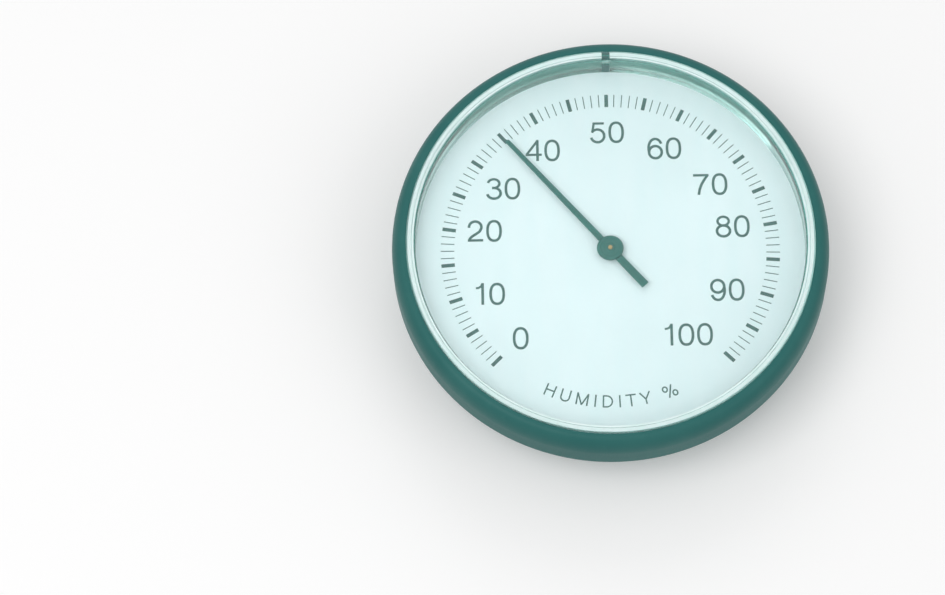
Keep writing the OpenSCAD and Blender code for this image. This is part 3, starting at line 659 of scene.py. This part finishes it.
# The width of each letter and the centre lines of its strokes, in thousandths of its type size
LETTERS = {
    "H": (722, [[(117, 0), (117, 718)], [(605, 0), (605, 718)], [(117, 372), (605, 372)]]),
    "U": (722, [[(123, 718), (123, 240)] + bowl(361, 240, 238, 212, 180, 360)
                + [(599, 240), (599, 718)]]),
    "M": (833, [[(115, 0), (115, 718)], [(115, 700), (416, 20)], [(416, 20), (718, 700)],
                [(718, 0), (718, 718)]]),
    "I": (278, [[(139, 0), (139, 718)]]),
    "D": (722, [[(122, 0), (122, 718)], [(122, 684), (300, 684)] + bowl(300, 359, 320, 325, 90, -90)
                + [(122, 34)]]),
    "T": (611, [[(306, 0), (306, 690)], [(14, 684), (597, 684)]]),
    "Y": (667, [[(50, 718), (333, 290)], [(617, 718), (333, 290)], [(333, 0), (333, 310)]]),
    "%": (889, [bowl(200, 535, 130, 150, 0, 360), bowl(690, 170, 130, 150, 0, 360),
                [(615, 718), (275, -14)]]),
    " ": (278, []),
}
letter_r = WORD_R - LETTER_HALF_H
spare = WORD_SPAN * letter_r - sum(LETTERS[c][0] for c in WORD) * WORD_SCALE
gap = spare / (len(WORD) - 1)
letters = []
run = -(WORD_SPAN / 2 + WORD_LEAN) * letter_r
for character in WORD:
    advance, centre_lines = LETTERS[character]
    angle = (run + advance * WORD_SCALE / 2) / letter_r
    strokes = [([(x - advance / 2, y) for x, y in line], 1) for line in centre_lines]
    letters += placed_strokes(strokes, WORD_STROKE, WORD_SCALE,
                              WORD_R * sin(angle), -WORD_R * cos(angle), angle)
    run += advance * WORD_SCALE + gap

ink_film, asked, place = new_effect("ink_film", (
    ("Ink", "Color", shade(36, 92, 86)), ("Thin ink", "Color", shade(56, 110, 104))))
patches = noise(ink_film, place, (900, 900, 900), detail=3.0, roughness=0.6)
thin_share = spread(ink_film, patches, part=(0.45, 0.75))
close_effect(
    ink_film,
    blend_colours(ink_film, thin_share, asked["Ink"], asked["Thin ink"]),
    spread(ink_film, patches, part=(0.3, 0.7), onto=(0.35, 0.5)),
    patches)
dial_ink = finish("dial_ink", ink_film, {}, relief=0.002)
for name, faces in (("scale_marks", marks), ("scale_numbers", figures), ("scale_word", letters)):
    new_piece(name, printed(name, faces), dial_ink, "root", ())


# Pointer and hub
# The pointer is blanked from thin aluminium and painted dark. A turned and painted hub is
# pressed into it and onto the arbor, whose brass end shows in the middle.
POINTER_EDGE = 0.05
HUB_BORE_R = 0.53
HUB_STEM_R = 1.0
HUB_DRAFT = 0.25
HUB_RIM_W = 0.6
HUB_DISH = 0.12
HUB_EDGE = 0.05
HUB_RIM_EDGE = 0.14
HUB_STEM_EDGE = 0.04
HUB_BORE_EDGE = 0.03
HUB_STEPS = 96

pointer_paint = finish("pointer_paint", lacquer_film, {
    "Lacquer": shade(6, 100, 92), "Aged": shade(12, 108, 99), "Smoothest": 0.36, "Dullest": 0.48},
    relief=0.002, Specular_IOR_Level=0.3)
deburred("pointer", pointer_paint, POINTER_EDGE)

hub_low, hub_high = limits("pointer_hub")
pointer_high = limits("pointer")[1]
rim_r = hub_high.x - HUB_DRAFT
rim_bore_r = rim_r - HUB_RIM_W
dish_z = hub_high.z - HUB_DISH
hub_outline = rounded([
    (HUB_BORE_R, hub_low.z, 0), (HUB_STEM_R, hub_low.z, HUB_EDGE), (HUB_STEM_R, pointer_high.z, 0),
    (hub_high.x, pointer_high.z, HUB_EDGE), (rim_r, hub_high.z, HUB_RIM_EDGE),
    (rim_bore_r, hub_high.z, HUB_EDGE), (rim_bore_r - HUB_DISH, dish_z, HUB_EDGE),
    (HUB_STEM_R + HUB_DISH, dish_z, HUB_EDGE), (HUB_STEM_R, hub_high.z, HUB_STEM_EDGE),
    (HUB_BORE_R, hub_high.z, HUB_BORE_EDGE)])
soften_normals(new_piece("pointer_boss", turned("pointer_boss", hub_outline, HUB_STEPS), pointer_paint,
                         "pointer_body", ("pointer_hub",)))


# Case body
# The drum behind the dial and its flange are one moulding of dark filled plastic, with
# three bosses inside for the cover's screws.
MOULDED_EDGE = 0.15

moulded_skin, asked, place = new_effect("moulded_skin", (
    ("Plastic", "Color", shade(36, 94, 92)), ("Rubbed", "Color", shade(50, 108, 104)),
    ("Grains per metre", "Float", 3200.0), ("Smoothest", "Float", 0.35), ("Dullest", "Float", 0.5)))
mottle = noise(moulded_skin, place, (60, 60, 60), detail=4.0, roughness=0.55)
speck = noise(moulded_skin, place, (700, 700, 700), detail=5.0, roughness=0.7)
fine_place = add_node(moulded_skin, "VectorMath", {0: place, 3: asked["Grains per metre"]},
                      operation="SCALE").outputs[0]
grain = noise(moulded_skin, fine_place, (1, 1, 1), detail=2.0, roughness=0.5)
rub = combined(moulded_skin, "ADD",
               spread(moulded_skin, mottle, part=(0.4, 0.7), onto=(0.0, 0.6)),
               spread(moulded_skin, speck, part=(0.55, 0.8), onto=(0.0, 0.4)))
close_effect(
    moulded_skin,
    blend_colours(moulded_skin, rub, asked["Plastic"], asked["Rubbed"]),
    spread(moulded_skin, grain, part=(0.3, 0.7), onto=(asked["Smoothest"], asked["Dullest"])),
    grain)
case_plastic = finish("case_plastic", moulded_skin, {}, relief=0.008)
deburred("case_body", case_plastic, MOULDED_EDGE)


# Crystal
# A clear moulded cap with a flat window, a skirt and a foot that stands on the dial. A
# notch at twelve o'clock takes the bezel's key.
FOOT_W = 0.9
FOOT_H = 1.2
WINDOW_T = 1.1
SKIRT_T = 1.8
SKIRT_DRAFT = 0.3
KEY_W = 1.8
KEY_DROP = 3.6
FACE_EDGE = 0.3
WINDOW_CORNER = 0.4
FOOT_EDGE = 0.15
FOOT_CORNER = 0.1
SKIRT_FOOT_EDGE = 0.08
FINE_ROUND_STEPS = 6
CUT_PAST = 1.0
LIGHT_LET_IN = (0.97, 0.985, 0.985, 1.0)

crystal_low, crystal_high = limits("crystal")
face_z = crystal_high.z
window_back_z = face_z - WINDOW_T
foot_r = crystal_high.x
foot_top = crystal_low.z + FOOT_H
foot_z = crystal_low.z + SEAT_GAP
crystal_r = foot_r - FOOT_W
skirt_r = crystal_r - SKIRT_T
skirt_foot_r = skirt_r - SKIRT_DRAFT
key_top = face_z - KEY_DROP
notch_side = KEY_W / 2 + SEAT_GAP


def block(name, low, high):
    """A helper block between two corners, in millimetres."""
    shape = bmesh.new()
    size = Vector(high) - Vector(low)
    middle = (Vector(high) + Vector(low)) / 2
    bmesh.ops.create_cube(shape, size=1.0, matrix=Matrix.Translation(middle * MM)
                          @ Matrix.Diagonal((*(size * MM), 1.0)))
    tool = bpy.data.objects.new(name, as_mesh(name, shape))
    scene.collection.objects.link(tool)
    return tool


def machined(mesh, tool, operation):
    """Joins or cuts a mesh with a helper block and takes the block away again."""
    work = bpy.data.objects.new("work", mesh)
    scene.collection.objects.link(work)
    change = work.modifiers.new("change", "BOOLEAN")
    change.operation = operation
    change.solver = "EXACT"
    change.object = tool
    bpy.context.view_layer.update()
    result = bpy.data.meshes.new_from_object(work.evaluated_get(bpy.context.evaluated_depsgraph_get()))
    result.name = mesh.name
    for used in (work, tool):
        bpy.data.objects.remove(used)
    return result


crystal_outline = rounded([
    (0, face_z, 0), (crystal_r, face_z, FACE_EDGE), (crystal_r, foot_top, FOOT_CORNER),
    (foot_r, foot_top, FOOT_EDGE), (foot_r, foot_z, FOOT_CORNER), (skirt_foot_r, foot_z, SKIRT_FOOT_EDGE),
    (skirt_r, window_back_z, WINDOW_CORNER), (0, window_back_z, 0)], FINE_ROUND_STEPS)
notch = block("notch", (-notch_side, skirt_foot_r - CUT_PAST, crystal_low.z - CUT_PAST),
              (notch_side, foot_r + CUT_PAST, key_top + SEAT_GAP))
crystal_mesh = machined(turned("crystal_cap", crystal_outline), notch, "DIFFERENCE")

clear_film, asked, place = new_effect("clear_film", (
    ("Clear", "Color", (0.95, 0.99, 0.99, 1.0)), ("Hazy", "Color", (0.92, 0.98, 0.98, 1.0)),
    ("Smoothest", "Float", 0.0), ("Dullest", "Float", 0.015)))
wipes = noise(clear_film, place, (300, 40, 40), detail=4.0, roughness=0.6)
swirl = noise(clear_film, place, (25, 25, 25), detail=2.0, roughness=0.5)
haze_share = spread(clear_film, wipes, part=(0.4, 0.7))
close_effect(
    clear_film,
    blend_colours(clear_film, haze_share, asked["Clear"], asked["Hazy"]),
    spread(clear_film, wipes, part=(0.4, 0.75), onto=(asked["Smoothest"], asked["Dullest"])),
    swirl)


def let_light_in(material):
    """Lets the lamps shine through a clear material, as they do through a real crystal."""
    tree = material.node_tree
    shadow_ray = add_node(tree, "LightPath").outputs["Is Shadow Ray"]
    seen_through = add_node(tree, "BsdfTransparent", {"Color": LIGHT_LET_IN})
    mixed = add_node(tree, "MixShader", {0: shadow_ray, 1: tree.nodes["Principled BSDF"].outputs[0],
                                         2: seen_through.outputs[0]})
    tree.links.new(mixed.outputs[0], tree.nodes["Material Output"].inputs["Surface"])


def height_on(tree):
    """The height over the back of the case, in metres."""
    return add_node(tree, "SeparateXYZ", {0: add_node(tree, "TexCoord").outputs["Object"]}).outputs["Z"]


def tinted(material, share, colour):
    """Mixes a colour into a material's own over a part of the piece."""
    tree = material.node_tree
    own_colour = tree.nodes["Group"].outputs["Colour"]
    tree.links.new(blend_colours(tree, share, own_colour, colour),
                   tree.nodes["Principled BSDF"].inputs["Base Color"])


clear_plastic = finish("clear_plastic", clear_film, {}, relief=0.0015, Transmission_Weight=1.0, IOR=1.49)
let_light_in(clear_plastic)

# Painted reflection: the skirt's foot is tinted teal up to a height, which darkens and colours the dial
# and the lamp glints seen through it
FOOT_REFLECTION_TINT = (0.46, 0.76, 0.7, 1.0)
FOOT_REFLECTION_H = 3.0
tree = clear_plastic.node_tree
reflection_in_foot = spread(tree, height_on(tree), part=(foot_top * MM, (foot_top + FOOT_REFLECTION_H) * MM),
                 onto=(1.0, 0.0))
tinted(clear_plastic, reflection_in_foot, FOOT_REFLECTION_TINT)
soften_normals(new_piece("crystal_cap", crystal_mesh, clear_plastic, "root", ("crystal",)))

# Painted highlight: white films just under the crystal's face stand in for the bright ring of light that
# the clear skirt leads up to the rim. They are a dense line inside a paler band, and they let the lamps
# through, so they cast no shade.
RIM_LIGHT_DEPTH = 0.04
RIM_LIGHT_LINE_W = 0.45
RIM_LIGHT_GAP = 0.1
RIM_LIGHT_EDGE = 0.35
RIM_LIGHT_START = 0.02

painted_rim_light, asked, place = new_effect("painted_rim_light", (
    ("Highlight", "Color", shade(240, 250, 250)), ("Faint highlight", "Color", shade(226, 242, 240)),
    ("Least", "Float", 0.5), ("Most", "Float", 0.7)))
flow = noise(painted_rim_light, place, (260, 260, 260), detail=4.0, roughness=0.6)
rim_speckle = noise(painted_rim_light, place, (2600, 2600, 2600), detail=2.0, roughness=0.5)
thin_share = spread(painted_rim_light, flow, part=(0.4, 0.65))
close_effect(
    painted_rim_light,
    blend_colours(painted_rim_light, thin_share, asked["Highlight"], asked["Faint highlight"]),
    spread(painted_rim_light, rim_speckle, part=(0.3, 0.7), onto=(0.5, 0.7)),
    rim_speckle,
    spread(painted_rim_light, flow, part=(0.35, 0.65), onto=(asked["Least"], asked["Most"])))
rim_highlight_line = finish("rim_highlight_line", painted_rim_light, {"Least": 0.9, "Most": 1.0}, relief=0.002)
rim_highlight_band = finish("rim_highlight_band", painted_rim_light, {"Least": 0.68, "Most": 0.85}, relief=0.002)


def ring_film(name, inner, outer, material):
    """A thin ring of painted highlight just under the crystal's face, open over the notch."""
    top = face_z - RIM_LIGHT_DEPTH
    outline = [(inner, top - INK_T), (outer, top - INK_T), (outer, top), (inner, top)]
    opening = block("opening", (-notch_side, inner - CUT_PAST, top - CUT_PAST),
                    (notch_side, outer + CUT_PAST, top + CUT_PAST))
    mesh = machined(turned(name, outline), opening, "DIFFERENCE")
    piece = new_piece(name, mesh, material, "root", ())
    let_light_in(material)
    soften_normals(piece)


# Painted highlight: the line and the band of white film over the skirt
line_r = skirt_r + RIM_LIGHT_START
line_end_r = line_r + RIM_LIGHT_LINE_W
ring_film("rim_light_line", line_r, line_end_r, rim_highlight_line)
ring_film("rim_light_band", line_end_r + RIM_LIGHT_GAP, crystal_r - RIM_LIGHT_EDGE, rim_highlight_band)


# Bezel
# A moulded ring of the same dark plastic snaps over the case flange and holds crystal and
# dial. Its shoulder is polished by the mould, and a small key inside locates the crystal.
BEZEL_SKIN = 1.6
BEZEL_SIDE_H = 6.2
LIP_W = 0.6
KEY_ROOT = 0.4
SNAP_EDGE = 0.1
SIDE_EDGE = 0.8
LIP_EDGE = 0.12
SHOULDER_STEPS = 20
BORE_PAINTED_LIGHT = shade(50, 184, 166)
TINT_MARGIN = 0.1
LIP_CLEAR = 0.3

bezel_low, bezel_high = limits("bezel_ring")
side_r = bezel_high.x
lip_z = bezel_high.z
side_top = bezel_low.z + BEZEL_SIDE_H
bore_r = crystal_r + SEAT_GAP
lip_r = bore_r + LIP_W
foot_bore_r = foot_r + SEAT_GAP
foot_bore_z = foot_top + SEAT_GAP
flange_bore_r = side_r - BEZEL_SKIN
shoulder = []
for k in range(SHOULDER_STEPS):
    turn = pi / 2 * k / SHOULDER_STEPS
    shoulder.append((lip_r + (side_r - lip_r) * cos(turn),
                     side_top + (lip_z - side_top) * sin(turn)))
rear = rounded([(flange_bore_r, bezel_low.z, SNAP_EDGE), (side_r, bezel_low.z, SIDE_EDGE),
                (side_r, side_top, 0)], FINE_ROUND_STEPS)
front = rounded([(lip_r, lip_z, 0), (bore_r, lip_z, LIP_EDGE), (bore_r, foot_bore_z, 0),
                 (foot_bore_r, foot_bore_z, SNAP_EDGE), (foot_bore_r, dial_low.z, SNAP_EDGE),
                 (flange_bore_r, dial_low.z, 0)])
bezel_outline = rear[:-1] + shoulder + front
key = block("key", (-KEY_W / 2, skirt_foot_r + SEAT_GAP, dial_high.z + SEAT_GAP),
            (KEY_W / 2, bore_r + KEY_ROOT, key_top))
bezel_mesh = machined(turned("bezel", bezel_outline), key, "UNION")
bezel_plastic = finish("bezel_plastic", moulded_skin, {
    "Plastic": shade(44, 103, 100), "Rubbed": shade(56, 113, 109), "Grains per metre": 5200.0,
    "Smoothest": 0.38, "Dullest": 0.5}, relief=0.003, Specular_IOR_Level=0.15)

# Painted light: the bore is painted a brighter teal than the outside, standing in for the light that the
# clear skirt leads onto it
tree = bezel_plastic.node_tree
place = add_node(tree, "TexCoord").outputs["Object"]
flat = add_node(tree, "VectorMath", {0: place, 1: (1.0, 1.0, 0.0)}, operation="MULTIPLY").outputs[0]
from_axis = add_node(tree, "VectorMath", {0: flat}, operation="LENGTH").outputs["Value"]
past_key = spread(tree, from_axis, part=((bore_r - TINT_MARGIN) * MM, (bore_r - TINT_MARGIN / 2) * MM))
inside = spread(tree, from_axis, onto=(1.0, 0.0),
                part=((foot_bore_r + TINT_MARGIN) * MM, (foot_bore_r + 2 * TINT_MARGIN) * MM))
under_lip = spread(tree, height_on(tree), onto=(1.0, 0.0),
                   part=((lip_z - 2 * LIP_CLEAR) * MM, (lip_z - LIP_CLEAR) * MM))
painted_light_in_bore = combined(tree, "MULTIPLY", combined(tree, "MULTIPLY", past_key, inside), under_lip)
tinted(bezel_plastic, painted_light_in_bore, BORE_PAINTED_LIGHT)
soften_normals(new_piece("bezel", bezel_mesh, bezel_plastic, "root", ("bezel_ring",)))


# Back cover
# A flat moulded disc with vent slots, a hanging keyhole and a hole for the adjuster. Its
# outside has a matt eroded texture. Three plated screws hold it to the case.
COVER_SCREW_EDGE = 0.1

cover_plastic = finish("cover_plastic", moulded_skin, {
    "Plastic": shade(34, 86, 84), "Rubbed": shade(52, 104, 100), "Grains per metre": 1500.0,
    "Smoothest": 0.5, "Dullest": 0.7}, relief=0.02)
deburred("back_cover", cover_plastic, MOULDED_EDGE)
deburred("back_cover_screws", plated_steel, COVER_SCREW_EDGE)


# Studio
# A pale floor just under the case, a soft key lamp, a fill and a low back lamp, and a
# plain white surround.
AMBIENT = 0.6
WHITE = (1.0, 1.0, 1.0, 1.0)
PAPER = (0.92, 0.92, 0.92, 1.0)
NO_BOUNCE = 0.5
FLOOR_HALF = 3.0
FLOOR_DROP = 0.05
FLOOR_GLOW = 0.1
# Where each lamp stands, its width in metres and its power in watts
LAMPS = (("key_lamp", (-0.32, -0.2, 0.75), 0.5, 2.0),
         ("fill_lamp", (0.6, -0.35, 0.6), 0.6, 0.95),
         ("back_lamp", (0.0, 0.8, 0.65), 0.5, 0.95))


def seen_by(tree):
    """1 where the surround is seen by the camera, in gloss or through the crystal."""
    rays = add_node(tree, "LightPath").outputs
    seen = combined(tree, "MAXIMUM", rays["Is Camera Ray"], rays["Is Glossy Ray"])
    return combined(tree, "MAXIMUM", seen, rays["Is Transmission Ray"])


world = bpy.data.worlds.new("surround")
scene.world = world
world.use_nodes = True
tree = world.node_tree
tree.nodes.clear()
bounces = add_node(tree, "LightPath").outputs["Diffuse Depth"]
seen = combined(tree, "MULTIPLY", seen_by(tree), combined(tree, "LESS_THAN", bounces, NO_BOUNCE))
lit = add_node(tree, "Background", {"Color": WHITE, "Strength": AMBIENT})
white = add_node(tree, "Background", {"Color": WHITE, "Strength": 1.0})
mixed = add_node(tree, "MixShader", {0: seen, 1: lit.outputs[0], 2: white.outputs[0]})
tree.links.new(mixed.outputs[0], tree.nodes.new("ShaderNodeOutputWorld").inputs["Surface"])

mesh = bpy.data.meshes.new("floor")
mesh.from_pydata([(x * FLOOR_HALF, y * FLOOR_HALF, -FLOOR_DROP * MM)
                  for x, y in ((-1, -1), (1, -1), (1, 1), (-1, 1))], [], [(0, 1, 2, 3)])
floor = bpy.data.objects.new("floor", mesh)
scene.collection.objects.link(floor)
material = bpy.data.materials.new("floor_paper")
material.use_nodes = True
tree = material.node_tree
tree.nodes.clear()
above = combined(tree, "SUBTRACT", 1.0, add_node(tree, "NewGeometry").outputs["Backfacing"])
shown = combined(tree, "MULTIPLY", seen_by(tree), above)
paper = add_node(tree, "BsdfDiffuse", {"Color": PAPER})
glow = add_node(tree, "Emission", {"Color": WHITE, "Strength": FLOOR_GLOW})
lifted = add_node(tree, "AddShader", {0: paper.outputs[0], 1: glow.outputs[0]})
clear = add_node(tree, "BsdfTransparent")
mixed = add_node(tree, "MixShader", {0: shown, 1: clear.outputs[0], 2: lifted.outputs[0]})
tree.links.new(mixed.outputs[0], tree.nodes.new("ShaderNodeOutputMaterial").inputs["Surface"])
mesh.materials.append(material)

for name, stand, size, power in LAMPS:
    lamp = bpy.data.lights.new(name, "AREA")
    lamp.shape = "SQUARE"
    lamp.size = size
    lamp.energy = power
    holder = bpy.data.objects.new(name, lamp)
    holder.location = stand
    holder.rotation_mode = "QUATERNION"
    holder.rotation_quaternion = (-Vector(stand)).to_track_quat("-Z", "Y")
    scene.collection.objects.link(holder)


# Camera
# The view looks down at the dial from the near side, a little from the right.
AIM = Vector((-31.75, -10.71, 16.0)) * MM
DISTANCE = 914.8 * MM
ELEVATION = radians(69.336)
AZIMUTH = radians(2.380)
ROLL = radians(-3.348)
LENS = 152.4
SENSOR_W = 36.0
NEAREST = 0.05

camera = bpy.data.objects.new("camera", bpy.data.cameras.new("camera"))
scene.collection.objects.link(camera)
camera.data.lens = LENS
camera.data.sensor_width = SENSOR_W
camera.data.clip_start = NEAREST
back = Vector((cos(ELEVATION) * sin(AZIMUTH), -cos(ELEVATION) * cos(AZIMUTH), sin(ELEVATION)))
camera.location = AIM + back * DISTANCE
camera.rotation_mode = "QUATERNION"
camera.rotation_quaternion = (-back).to_track_quat("-Z", "Y") @ Quaternion((0, 0, 1), ROLL)
scene.camera = camera
scene.view_settings.view_transform = "Standard"
